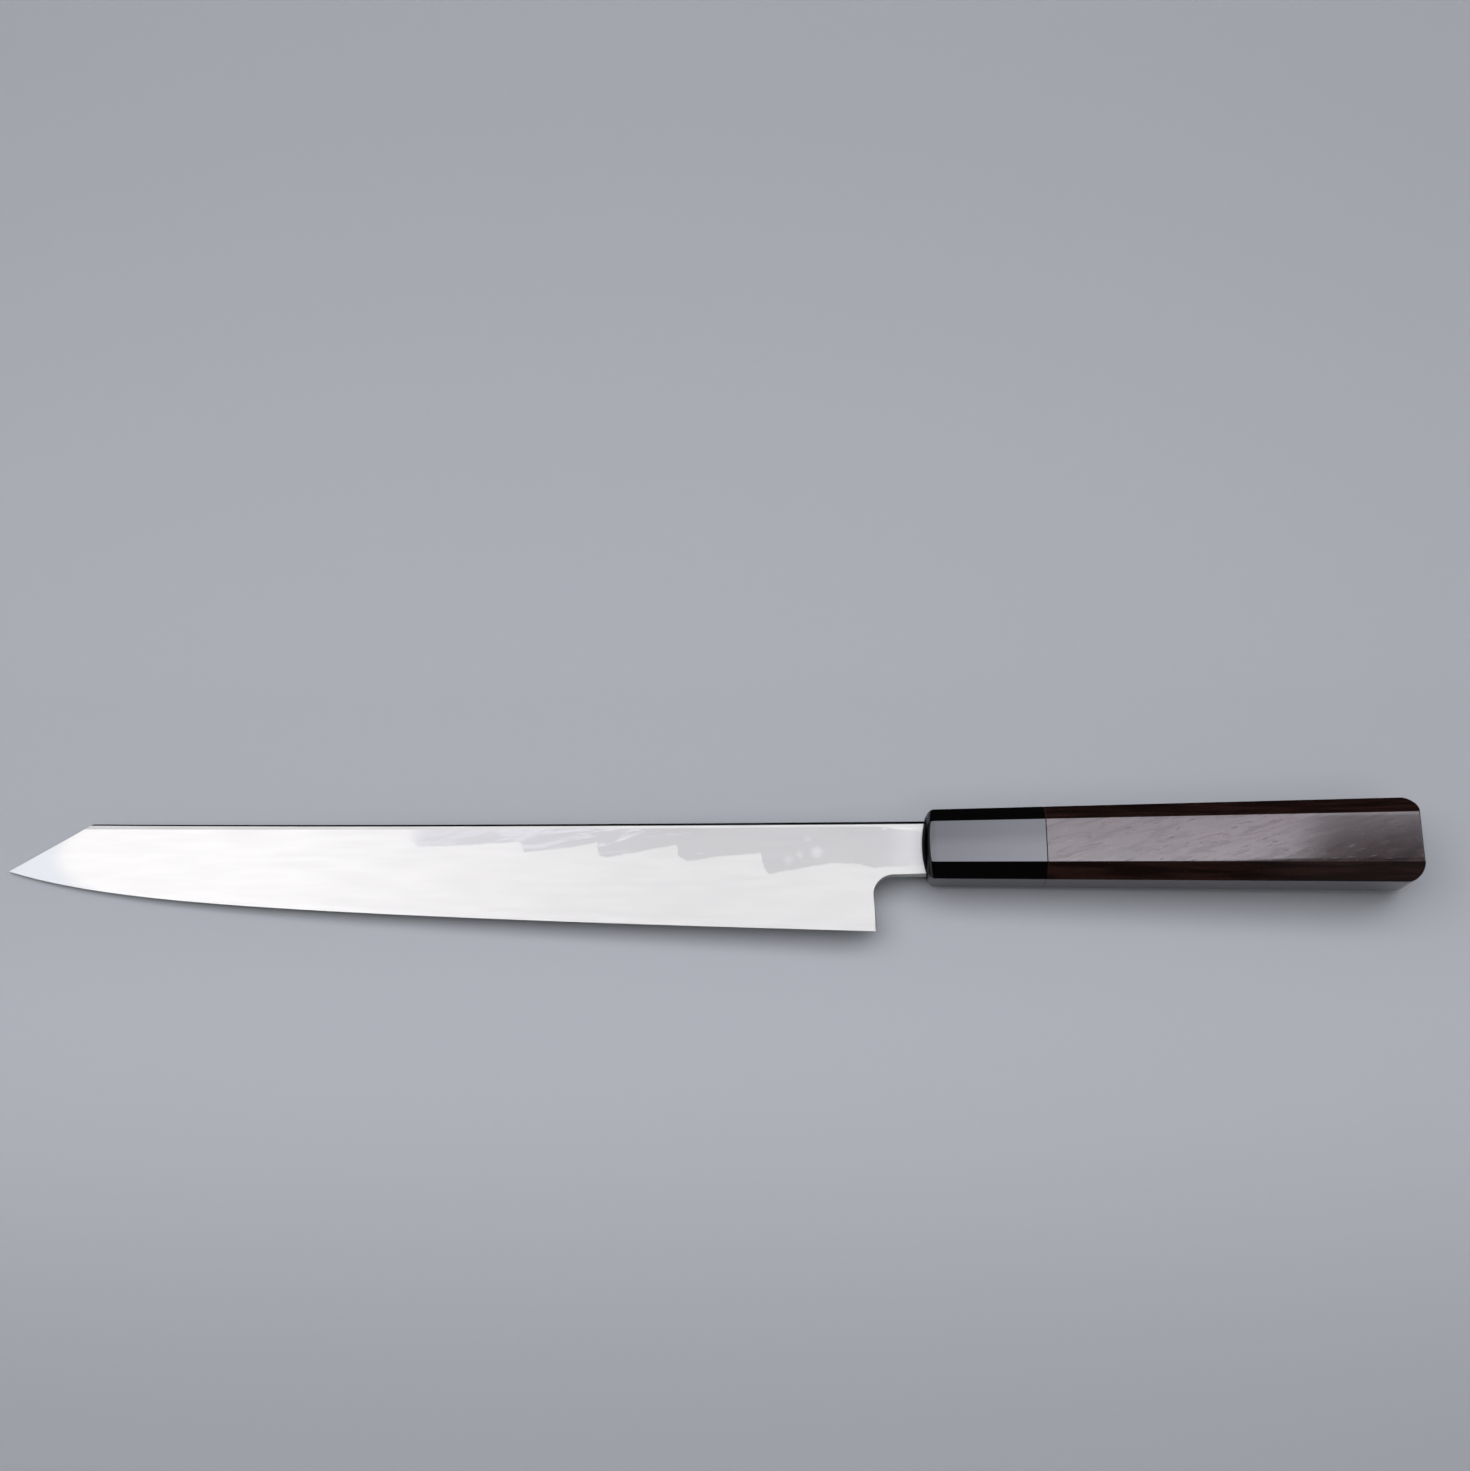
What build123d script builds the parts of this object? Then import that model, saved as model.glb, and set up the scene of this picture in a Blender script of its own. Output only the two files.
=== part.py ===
"""Yanagiba: a long single-bevel slicing knife with a clipped tip and a glued octagonal handle.

Millimetres. The knife is drawn straight, in its own frame. X runs along the handle's axis, from
the mouth of the ferrule towards the butt, so the blade lies on the negative side. Y rises up the
blade, from the edge to the spine. Z rises from the bevelled face to the hollow back. At the end
the finished knife is laid down as it rests on a table: hollow back up, standing on the front of
its ferrule and on the end of its blade, with the origin on the table under its middle.
"""

from build123d import *
from math import atan2, cos, degrees, radians, sin, tan
import os

# Blade, seen from its side
blade_length = 270.5
neck_length = 13.8
neck_height = 16.65
neck_top = 8.15
heel_height = 34.0
spine_rise = 1.7
spine_power = 2.6
clip_angle = 30.5

# The edge climbs from heel to tip as a slope, a long belly and a quick turn at the tip
edge_slope_rise = 9.2
edge_belly_rise = 5.4
edge_tip_rise = 5.7
edge_belly_power = 2.85
edge_tip_power = 9.9

# Heel notch
choil_angle = 4.9
choil_radius = 6.0

# Blade, in section
neck_thickness = 4.2
tip_thickness = 1.7
hira_thinning = 0.25
heel_bevel_height = 14.0
tip_bevel_height = 9.0
edge_thickness = 0.15
spine_rounding = 0.45
spine_back_rounding = 1.1
tip_back_rounding = 0.5

# Hollow of the back, ground on a large wheel, and the flat rims left round it
hollow_radius = 225.0
spine_rim = 1.7
shoulder_rim = 4.2
edge_rim = 1.6
shoulder_hollow_share = 0.1

# Tang
tang_length = 98.0
tang_root_height = 10.0
tang_end_height = 5.0
tang_end_thickness = 2.2
tang_end_rounding = 1.5
shoulder_depth = 5.0

# Handle, an octagon that tapers evenly from the butt to the front
handle_length = 146.3
front_height = 21.3
front_thickness = 18.8
front_cut = 4.45
butt_height = 25.75
butt_thickness = 22.1
butt_cut = 5.4
cut_slope_share = 0.79
butt_corner_radius = 4.2
butt_easing = 0.6

# Ferrule
ferrule_length = 36.9
ferrule_front_wall = 6.5
nose_radius = 32.0
nose_rounding = 2.2
slot_margin = 0.4
slot_corner_radius = 0.9

# Dowel that joins ferrule and grip, with a slot for the tang
dowel_diameter = 13.8
dowel_reach = 30.0
dowel_chamfer = 0.8
glue_gap = 0.1

# Hole in the grip for the end of the tang
tang_hole_diameter = 9.0
tang_hole_overrun = 3.0

# Black sealant round the neck
seal_depth = 2.6
seal_recess = 0.35

# Cuts reach this far past what they cut
overrun = 5.0

# Stations of the blade's sections, as shares of its length from the heel
station_shares = (1.03, 0.99, 0.95, 0.9, 0.83, 0.73, 0.6, 0.45, 0.3, 0.15, 0)

# Places worked out from the sizes above
heel_x = -neck_length
tip_x = heel_x - blade_length
heel_y = neck_top - heel_height
tip_y = heel_y + edge_slope_rise + edge_belly_rise + edge_tip_rise
neck_bottom = neck_top - neck_height
neck_middle = (neck_top + neck_bottom) / 2
back_z = neck_thickness / 2
dowel_end = ferrule_length + dowel_reach
tang_hole_end = tang_length + tang_hole_overrun


def mix(start, end, share):
    """Value between start and end."""
    return start + (end - start) * share


def blade_share(x):
    """How far x lies along the blade: nought at the heel, one at the tip."""
    return max((heel_x - x) / blade_length, 0)


def neck_share(x):
    """How far x lies along the neck: nought at the heel, one at the shoulder of the tang."""
    return max((x - heel_x) / (shoulder_depth - heel_x), 0)


def spine_height(x):
    """Y of the spine, which is straight at the neck and lifts a little towards the tip."""
    return neck_top + spine_rise * blade_share(x) ** spine_power


def edge_height(x):
    """Y of the cutting edge. Behind the heel its line runs on level."""
    share = blade_share(x)
    slope = edge_slope_rise * share
    belly = edge_belly_rise * share**edge_belly_power
    tip_turn = edge_tip_rise * share**edge_tip_power
    return heel_y + slope + belly + tip_turn


def hira_z(x, y):
    """Z of the flat of the bevelled side, which thins towards the tip and towards the bevel."""
    flat_height = heel_height - heel_bevel_height
    taper = (neck_thickness - tip_thickness) * (heel_x - x) / blade_length
    thinning = hira_thinning * (neck_top - y) / flat_height
    return back_z - neck_thickness + taper + thinning


def blade_section(x):
    """Section of the blade at x, with the bevel carried up to the spine."""
    spine = spine_height(x)
    edge = edge_height(x)
    edge_z = back_z - edge_thickness

    # The bevel's face goes from the edge through the ridge where it meets the flat
    ridge = edge + mix(heel_bevel_height, tip_bevel_height, blade_share(x))
    bevel_slope = (edge_z - hira_z(x, ridge)) / (ridge - edge)

    # The wheel leaves a round hollow between two flat rims, and runs out along the neck
    hollow_top = spine - mix(spine_rim, shoulder_rim, neck_share(x))
    hollow_bottom = edge + edge_rim
    hollow_depth = (hollow_top - hollow_bottom) ** 2 / (8 * hollow_radius)
    hollow_depth *= mix(1, shoulder_hollow_share, neck_share(x))
    hollow_middle = (hollow_top + hollow_bottom) / 2

    with BuildSketch(Plane.YZ.offset(x)) as section:
        with BuildLine():
            ThreePointArc(
                (hollow_top, back_z),
                (hollow_middle, back_z - hollow_depth),
                (hollow_bottom, back_z),
            )
            Polyline(
                (hollow_bottom, back_z),
                (edge, back_z),
                (edge, edge_z),
                (spine, edge_z - bevel_slope * (spine - edge)),
                (spine, back_z),
                (hollow_top, back_z),
            )
        make_face()
        back_corner = section.vertices().group_by(Axis.X)[-1].sort_by(Axis.Y)[-1]
        fillet(back_corner, mix(spine_back_rounding, tip_back_rounding, blade_share(x)))
    return section.sketch


def neck_slot(x):
    """Slot for the neck in the front wall of the ferrule."""
    height = neck_height + 2 * slot_margin
    width = neck_thickness + 2 * slot_margin
    with BuildSketch(Plane.YZ.offset(x)) as slot:
        with Locations((neck_middle, 0)):
            RectangleRounded(height, width, slot_corner_radius)
    return slot.sketch


def tang_slot(x):
    """Slot for the tang in the dowel."""
    height = tang_root_height + 2 * slot_margin
    width = neck_thickness + 2 * slot_margin
    with BuildSketch(Plane.YZ.offset(x)) as slot:
        Rectangle(height, width)
    return slot.sketch


def handle_half_height(x):
    return mix(front_height, butt_height, x / handle_length) / 2


def octagon_corners(x):
    """The eight corners of the handle's section at x."""
    share = x / handle_length
    half_height = handle_half_height(x)
    half_thickness = mix(front_thickness, butt_thickness, share) / 2
    cut = mix(front_cut, butt_cut, share)
    side_corner = (half_height, half_thickness - cut * cut_slope_share)
    top_corner = (half_height - cut, half_thickness)
    signs = ((1, 1), (1, -1), (-1, 1), (-1, -1))
    return [(x, up * y, out * z) for y, z in (side_corner, top_corner) for up, out in signs]


# Blade, with its neck and tang: one piece of steel
with BuildPart() as blade:
    stations = [heel_x - share * blade_length for share in station_shares]
    loft([blade_section(x) for x in (*stations, heel_x / 2, shoulder_depth)])

    # The flat of the bevelled side: it thins along the blade and runs level along the neck
    flat_points = [(heel_x, neck_top), (tip_x, neck_top), (heel_x, heel_y)]
    corner, along, down = [Vector(x, y, hira_z(x, y)) for x, y in flat_points]
    hira_normal = (down - corner).cross(along - corner)
    neck_normal = (down - corner).cross(-Axis.X.direction)
    split(bisect_by=Plane(corner, z_dir=hira_normal), keep=Keep.BOTTOM)
    split(bisect_by=Plane(corner, z_dir=neck_normal), keep=Keep.BOTTOM)

    # The clip, square to the back, from the tip up to the spine
    clip_normal = (-sin(radians(clip_angle)), cos(radians(clip_angle)), 0)
    split(bisect_by=Plane((tip_x, tip_y, 0), z_dir=clip_normal), keep=Keep.BOTTOM)

    # The notch between heel and neck
    with BuildSketch(Plane.XY) as heel_notch:
        lean_share = tan(radians(choil_angle))
        low_y = heel_y - overrun
        low_point = (heel_x + overrun * lean_share, low_y)
        corner_point = (heel_x - (neck_bottom - heel_y) * lean_share, neck_bottom)
        end_x = shoulder_depth + overrun
        with BuildLine():
            FilletPolyline(low_point, corner_point, (end_x, neck_bottom), radius=choil_radius)
            Polyline((end_x, neck_bottom), (end_x, low_y), low_point)
        make_face()
    extrude(amount=neck_thickness, both=True, mode=Mode.SUBTRACT)

    # The far corner of the spine is eased
    flats = blade.faces().filter_by(GeomType.PLANE).sort_by(SortBy.AREA)[-2:]
    fillet([flat.edges().sort_by(Axis.Y)[-1] for flat in flats], spine_rounding)

    # The tang, tapered both ways from a pair of shoulders
    with BuildSketch(Plane.YZ.offset(shoulder_depth)):
        Rectangle(tang_root_height, neck_thickness)
    with BuildSketch(Plane.YZ.offset(tang_length)):
        Rectangle(tang_end_height, tang_end_thickness)
    loft()
    tang_end = blade.faces().sort_by(Axis.X)[-1]
    fillet(tang_end.edges().filter_by(Axis.Z), tang_end_rounding)

# Ferrule: an octagon with a domed nose, a slot in front and a blind hole for the dowel
with BuildPart() as ferrule:
    ConvexPolyhedron(octagon_corners(0) + octagon_corners(ferrule_length / 2))
    with Locations((nose_radius, 0, 0)):
        Sphere(nose_radius, mode=Mode.INTERSECT)
    fillet(ferrule.faces().filter_by(GeomType.SPHERE).edges(), nose_rounding)
    ConvexPolyhedron(octagon_corners(ferrule_length / 2) + octagon_corners(ferrule_length))
    extrude(neck_slot(0), amount=ferrule_front_wall, mode=Mode.SUBTRACT)
    with BuildSketch(Plane.YZ.offset(ferrule_front_wall)):
        Circle(dowel_diameter / 2 + glue_gap)
    extrude(amount=ferrule_length, mode=Mode.SUBTRACT)

# Grip: the rest of the octagon, bored for dowel and tang. Its butt has round corners when seen
# from above, and eased edges
with BuildPart() as grip:
    ConvexPolyhedron(octagon_corners(ferrule_length) + octagon_corners(handle_length))
    with BuildSketch() as outline:
        with BuildLine():
            start = Vector(ferrule_length, handle_half_height(ferrule_length))
            end = Vector(handle_length, handle_half_height(handle_length))
            Polyline(start, end, (end.X, -end.Y), (start.X, -start.Y), close=True)
        make_face()
        fillet(outline.vertices().sort_by(Axis.X)[-2:], butt_corner_radius)
    extrude(amount=butt_thickness, both=True, mode=Mode.INTERSECT)
    butt_faces = [grip.faces().sort_by(Axis.X)[-1], *grip.faces().filter_by(GeomType.CYLINDER)]
    butt_edges = ShapeList(edge for face in butt_faces for edge in face.edges())
    fillet(butt_edges.filter_by(Axis.Z, reverse=True), butt_easing)
    with BuildSketch(Plane.YZ.offset(ferrule_length)):
        Circle(dowel_diameter / 2 + glue_gap)
    extrude(amount=dowel_reach, mode=Mode.SUBTRACT)
    with BuildSketch(Plane.YZ.offset(dowel_end)):
        Circle(tang_hole_diameter / 2)
    extrude(amount=tang_hole_end - dowel_end, mode=Mode.SUBTRACT)

# Dowel that joins ferrule and grip
with BuildPart() as core_dowel:
    with BuildSketch(Plane.YZ.offset(ferrule_front_wall)):
        Circle(dowel_diameter / 2)
    extrude(amount=dowel_end - ferrule_front_wall)
    chamfer(core_dowel.edges().filter_by(GeomType.CIRCLE), dowel_chamfer)
    extrude(tang_slot(ferrule_front_wall), amount=dowel_end, mode=Mode.SUBTRACT)

# Resin that fills what the tang leaves of the slots and of the hole in the grip
with BuildPart() as tang_bedding:
    extrude(neck_slot(seal_depth), amount=ferrule_front_wall - seal_depth)
    extrude(tang_slot(ferrule_front_wall), amount=dowel_end - ferrule_front_wall)
    with BuildSketch(Plane.YZ.offset(dowel_end)):
        Circle(tang_hole_diameter / 2)
    extrude(amount=tang_hole_end - dowel_end)
    add(blade.part, mode=Mode.SUBTRACT)

# Sealant in the mouth of the ferrule, a little below the nose's surface
with BuildPart() as mouth_seal:
    extrude(neck_slot(0), amount=seal_depth)
    with Locations((nose_radius + seal_recess, 0, 0)):
        Sphere(nose_radius, mode=Mode.INTERSECT)
    add(blade.part, mode=Mode.SUBTRACT)

# The knife is laid down: it tips about the lower front of the ferrule until its blade touches
foot = ferrule.faces().sort_by(Axis.Z)[0].edges().sort_by(Axis.X)[0] @ 0.5
blade_corners = blade.vertices().filter_by(lambda v: v.X < heel_x)
rest_angle = min(degrees(atan2(v.Z - foot.Z, foot.X - v.X)) for v in blade_corners)
tipped = Location((0, 0, 0), (0, -rest_angle, 0))
corners = Compound([tipped * piece.part for piece in (blade, ferrule, grip)]).vertices()
low_x, *_, high_x = sorted(v.X for v in corners)
low_y, *_, high_y = sorted(v.Y for v in corners)
low_z, *_, high_z = sorted(v.Z for v in corners)
at_rest = Location((-(low_x + high_x) / 2, -(low_y + high_y) / 2, -low_z)) * tipped

os.makedirs("parts", exist_ok=True)

blade.part.label = "blade"
blade.part.locate(at_rest)
export_step(blade.part, "parts/blade.step")

ferrule.part.label = "ferrule"
ferrule.part.locate(at_rest)
export_step(ferrule.part, "parts/ferrule.step")

grip.part.label = "grip"
grip.part.locate(at_rest)
export_step(grip.part, "parts/grip.step")

core_dowel.part.label = "core_dowel"
core_dowel.part.locate(at_rest)
export_step(core_dowel.part, "parts/core_dowel.step")

tang_bedding.part.label = "tang_bedding"
tang_bedding.part.locate(at_rest)
export_step(tang_bedding.part, "parts/tang_bedding.step")

mouth_seal.part.label = "mouth_seal"
mouth_seal.part.locate(at_rest)
export_step(mouth_seal.part, "parts/mouth_seal.step")

print(f"rest angle {rest_angle:.3f} degrees")
print(f"size {high_x - low_x:.2f} x {high_y - low_y:.2f} x {high_z - low_z:.2f} mm")
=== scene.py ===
from math import atan2, cos, pi, radians, sin, sqrt, tan

import bmesh
import bpy
from mathutils import Matrix, Vector


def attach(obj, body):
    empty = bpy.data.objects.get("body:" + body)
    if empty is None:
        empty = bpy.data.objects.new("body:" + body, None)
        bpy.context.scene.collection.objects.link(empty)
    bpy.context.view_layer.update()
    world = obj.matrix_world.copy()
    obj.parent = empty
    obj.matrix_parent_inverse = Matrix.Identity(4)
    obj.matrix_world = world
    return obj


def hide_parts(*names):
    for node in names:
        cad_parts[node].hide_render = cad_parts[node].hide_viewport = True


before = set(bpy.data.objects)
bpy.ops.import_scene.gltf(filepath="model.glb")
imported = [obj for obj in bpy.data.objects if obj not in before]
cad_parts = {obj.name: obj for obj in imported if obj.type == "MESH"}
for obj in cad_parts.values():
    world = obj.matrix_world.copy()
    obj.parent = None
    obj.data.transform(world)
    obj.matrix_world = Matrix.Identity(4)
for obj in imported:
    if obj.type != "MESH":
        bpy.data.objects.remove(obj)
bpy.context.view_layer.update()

# The knife is drawn straight, in millimetres: X along the handle from the mouth of the ferrule to
# the butt, Y up the blade, Z towards the hollow back. Its meshes then take the resting place,
# which the part's source works out from its solids.
MM = 0.001
rest_angle = 2.034815
rest_place = (68.8083, 6.51992, 9.31975)
rest_turn = Matrix.Rotation(-radians(rest_angle), 4, "Y")
at_rest = Matrix.Translation(Vector(rest_place) * MM) @ rest_turn

# Blade, seen from its side
blade_length = 270.5
neck_length = 13.8
neck_height = 16.65
neck_top = 8.15
heel_height = 34.0
spine_rise = 1.7
spine_power = 2.6
clip_angle = 30.5
edge_slope_rise = 9.2
edge_belly_rise = 5.4
edge_tip_rise = 5.7
edge_belly_power = 2.85
edge_tip_power = 9.9
choil_angle = 4.9
choil_radius = 6.0
choil_easing = 0.7

# Blade, in section
neck_thickness = 4.2
tip_thickness = 1.7
hira_thinning = 0.25
heel_bevel_height = 14.0
tip_bevel_height = 9.0
edge_thickness = 0.15
spine_rounding = 0.45
spine_back_rounding = 1.1
tip_back_rounding = 0.5
hollow_radius = 225.0
spine_rim = 1.7
shoulder_rim = 4.2
edge_rim = 1.6
shoulder_hollow_share = 0.1

# Tang
tang_length = 98.0
tang_root_height = 10.0
tang_end_height = 5.0
tang_end_thickness = 2.2
shoulder_depth = 5.0

# Handle
handle_length = 146.3
front_height = 21.3
front_thickness = 18.8
front_cut = 4.45
butt_height = 25.75
butt_thickness = 22.1
butt_cut = 5.4
cut_slope_share = 0.79
butt_corner_radius = 4.2
butt_easing = 0.6
butt_start_share = 1.1
grip_body_end = handle_length - butt_start_share * butt_corner_radius
ferrule_length = 36.9
ferrule_front_wall = 6.5
nose_radius = 32.0
nose_rounding = 2.2
first_dome_share = 0.02
slot_margin = 0.4
slot_corner_radius = 0.9
dowel_diameter = 13.8
dowel_reach = 30.0
glue_gap = 0.1
tang_hole_diameter = 9.0
tang_hole_overrun = 3.0
seam_easing = 0.16
facet_easing = 0.3

# How finely the meshes are made: steps round the blade's section and along it, then round the
# handle's section and along it
ARC_STEPS = 12
HOLLOW_STEPS = 24
BEVEL_STEPS = 4
FLAT_STEPS = 5
NOTCH_STEPS = 24
TIP_STEPS = 59
MIDDLE_STEPS = 119
HEEL_STEPS = 29
CORNER_STEPS = 4
FACET_STEPS = 16
CIRCLE_STEPS = 64
SLOT_STEPS = 8
DOME_STEPS = 13
ROUNDING_STEPS = 11
BODY_STEPS = 39
BUTT_STEPS = 14
weld_distance = 1e-7

# Edges that turn by more degrees than these stay sharp
blade_sharp_angle = 9
handle_sharp_angle = 25

# How far a cut runs past the face where it comes out
cut_overrun = 1.0
notch_overrun = 8.0

heel_x = -neck_length
tip_x = heel_x - blade_length
heel_y = neck_top - heel_height
tip_y = heel_y + edge_slope_rise + edge_belly_rise + edge_tip_rise
neck_bottom = neck_top - neck_height
neck_middle = (neck_top + neck_bottom) / 2
back_z = neck_thickness / 2


def mix(start, end, share):
    return start + (end - start) * share


def spread(start, end, steps):
    """Values from start to end in even steps, both included."""
    return [mix(start, end, i / steps) for i in range(steps + 1)]


def blade_share(x):
    return max((heel_x - x) / blade_length, 0)


def neck_share(x):
    return max((x - heel_x) / (shoulder_depth - heel_x), 0)


def spine_height(x):
    return neck_top + spine_rise * blade_share(x) ** spine_power


def edge_height(x):
    share = blade_share(x)
    slope = edge_slope_rise * share
    belly = edge_belly_rise * share**edge_belly_power
    return heel_y + slope + belly + edge_tip_rise * share**edge_tip_power


def hira_z(x, y):
    """Z of the flat of the bevelled side, level along the neck."""
    taper = (neck_thickness - tip_thickness) * blade_share(x)
    thinning = hira_thinning * (neck_top - y) / (heel_height - heel_bevel_height)
    return back_z - neck_thickness + taper + thinning


def hollow_limits(x):
    """Y where the hollow starts below the spine's rim, and where it ends above the edge's rim."""
    top = spine_height(x) - mix(spine_rim, shoulder_rim, neck_share(x))
    return top, edge_height(x) + edge_rim


# Meshes
def new_piece(name, bm, node, slot, *materials):
    """A piece of the knife that stands for a CAD node. The attribute "drawn" keeps each point's
    place on the straight knife, in metres, for the materials."""
    mesh = to_mesh(bm, name)
    drawn = mesh.attributes.new("drawn", "FLOAT_VECTOR", "POINT")
    places = [0.0] * (3 * len(mesh.vertices))
    mesh.vertices.foreach_get("co", places)
    drawn.data.foreach_set("vector", places)
    mesh.transform(at_rest)
    for each in materials:
        mesh.materials.append(each)
    made = bpy.data.objects.new(name, mesh)
    bpy.context.scene.collection.objects.link(made)
    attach(made, "root")
    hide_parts(node)
    return made


def stack(rings, slots=None):
    """A closed mesh through rings of equally many points. slots(ring, point) gives each face's
    material index."""
    bm = bmesh.new()
    rows = [[bm.verts.new(Vector(p) * MM) for p in ring] for ring in rings]
    count = len(rows[0])
    for i in range(len(rows) - 1):
        for j in range(count):
            k = (j + 1) % count
            face = bm.faces.new((rows[i][j], rows[i][k], rows[i + 1][k], rows[i + 1][j]))
            face.material_index = slots(i, j) if slots else 0
    bm.faces.new(list(reversed(rows[0])))
    bm.faces.new(rows[-1])
    bmesh.ops.remove_doubles(bm, verts=bm.verts, dist=weld_distance)
    bmesh.ops.dissolve_degenerate(bm, dist=weld_distance, edges=bm.edges)
    bmesh.ops.recalc_face_normals(bm, faces=bm.faces)
    return bm


def to_mesh(bm, name):
    mesh = bpy.data.meshes.new(name)
    bm.to_mesh(mesh)
    bm.free()
    return mesh


def cut(bm, *cutters):
    """bm with the closed cutters taken out of it."""
    body = bpy.data.objects.new("body", to_mesh(bm, "body"))
    bpy.context.scene.collection.objects.link(body)
    tools = []
    for cutter in cutters:
        tool = bpy.data.objects.new("tool", to_mesh(cutter, "tool"))
        bpy.context.scene.collection.objects.link(tool)
        tools.append(tool)
        step = body.modifiers.new("cut", "BOOLEAN")
        step.operation = "DIFFERENCE"
        step.solver = "EXACT"
        step.object = tool
    graph = bpy.context.evaluated_depsgraph_get()
    result = bmesh.new()
    result.from_mesh(bpy.data.meshes.new_from_object(body.evaluated_get(graph)))
    for each in (body, *tools):
        bpy.data.objects.remove(each)
    return result


def shade(bm, sharp_angle):
    """Smooth faces, with every edge sharper than the angle kept sharp."""
    for face in bm.faces:
        face.smooth = True
    for edge in bm.edges:
        edge.smooth = len(edge.link_faces) == 2 and edge.calc_face_angle(pi) < radians(sharp_angle)


# Blade
HOLLOW, RIM, FLAT, SPINE, TANG = range(5)


def blade_ring(x):
    """Section of the blade at x, from the spine down the back and up the bevelled side."""
    spine = spine_height(x)
    edge = edge_height(x)
    rounding = mix(spine_back_rounding, tip_back_rounding, blade_share(x))
    hollow_top, hollow_bottom = hollow_limits(x)
    half = (hollow_top - hollow_bottom) / 2
    depth = half**2 / (2 * hollow_radius) * mix(1, shoulder_hollow_share, neck_share(x))
    points = []
    for angle in spread(0, pi / 2, ARC_STEPS):
        y = spine - rounding + rounding * cos(angle)
        points.append((x, y, back_z - rounding + rounding * sin(angle)))
    for place in spread(1, -1, HOLLOW_STEPS):
        y = (hollow_top + hollow_bottom) / 2 + place * half
        points.append((x, y, back_z - depth * (1 - place**2)))
    points.append((x, edge, back_z))
    points.append((x, edge, back_z - edge_thickness))
    ridge = edge + mix(heel_bevel_height, tip_bevel_height, blade_share(x))
    for share in spread(0, 1, BEVEL_STEPS)[1:]:
        y = mix(edge, ridge, share)
        points.append((x, y, mix(back_z - edge_thickness, hira_z(x, ridge), share)))
    for share in spread(0, 1, FLAT_STEPS)[1:-1]:
        y = mix(ridge, spine - spine_rounding, share)
        points.append((x, y, hira_z(x, y)))
    low = hira_z(x, spine)
    for angle in spread(pi / 2, 0, ARC_STEPS):
        y = spine - spine_rounding + spine_rounding * cos(angle)
        points.append((x, y, low + spine_rounding - spine_rounding * sin(angle)))
    return points


def tang_ring(x, height, thickness, shape):
    """The blade's last ring, drawn in to the tang's rectangle."""
    back_points = ARC_STEPS + HOLLOW_STEPS + 3
    ring = []
    for i, (_, y, _) in enumerate(shape):
        z = thickness / 2 if i < back_points else -thickness / 2
        ring.append((x, max(min(y, height / 2), -height / 2), z))
    return ring


def blade_slot(ring, point):
    """The material of a face, from its place on the section and along the blade."""
    if ring >= shoulder_ring:
        return TANG
    if point < ARC_STEPS or point >= len(blade_rings[0]) - ARC_STEPS - 1:
        return SPINE
    if point in (ARC_STEPS, ARC_STEPS + HOLLOW_STEPS + 2):
        return RIM
    if point < ARC_STEPS + HOLLOW_STEPS + 2:
        return HOLLOW
    return FLAT


def notch_outline(grow):
    """The heel notch seen from above, grown into the blade by a distance."""
    lean = radians(choil_angle)
    corner = Vector((heel_x - (neck_bottom - heel_y) * tan(lean), neck_bottom))
    down = Vector((sin(lean), -cos(lean)))
    inward = Vector((-cos(lean), -sin(lean)))
    reach = choil_radius / tan((pi / 2 - lean) / 2)
    centre = corner + down * reach - inward * choil_radius
    low = corner + down * ((neck_bottom - heel_y) / cos(lean) + notch_overrun) + inward * grow
    points = [low]
    start = atan2(inward.y, inward.x) % (2 * pi)
    for angle in spread(start, pi / 2, NOTCH_STEPS):
        points.append(centre + Vector((cos(angle), sin(angle))) * (choil_radius + grow))
    points.append(Vector((shoulder_depth + notch_overrun, neck_bottom + grow)))
    points.append(Vector((shoulder_depth + notch_overrun, low.y)))
    return points


def notch_cutter():
    """The heel notch, which widens in an arc where it meets the back."""
    rings = []
    levels = [(0, -neck_thickness)]
    for angle in spread(0, pi / 2, ARC_STEPS):
        grow = choil_easing * (1 - cos(angle))
        levels.append((grow, back_z - choil_easing + choil_easing * sin(angle)))
    levels.append((choil_easing, back_z + neck_thickness))
    for grow, z in levels:
        rings.append([(p.x, p.y, z) for p in notch_outline(grow)])
    return stack(rings)


# Stations along the blade, closer together near the tip and the heel. The first ones lie past
# the tip, and the clip takes them off
past_tip_share = 1.04
near_tip_share = 0.85
near_heel_reach = 8.0
past_tip_x = heel_x - past_tip_share * blade_length
near_tip_x = heel_x - near_tip_share * blade_length
near_heel_x = heel_x - near_heel_reach
stations = spread(past_tip_x, near_tip_x, TIP_STEPS)
stations += spread(near_tip_x, near_heel_x, MIDDLE_STEPS)[1:]
stations += spread(near_heel_x, shoulder_depth, HEEL_STEPS)[1:]
blade_rings = [blade_ring(x) for x in stations]
shoulder_ring = len(blade_rings) - 1
last_ring = blade_rings[-1]
shoulder_step = 0.05
blade_rings.append(
    tang_ring(shoulder_depth + shoulder_step, tang_root_height, neck_thickness, last_ring)
)
blade_rings.append(tang_ring(tang_length, tang_end_height, tang_end_thickness, last_ring))
blade_bm = cut(stack(blade_rings, blade_slot), notch_cutter())

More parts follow.
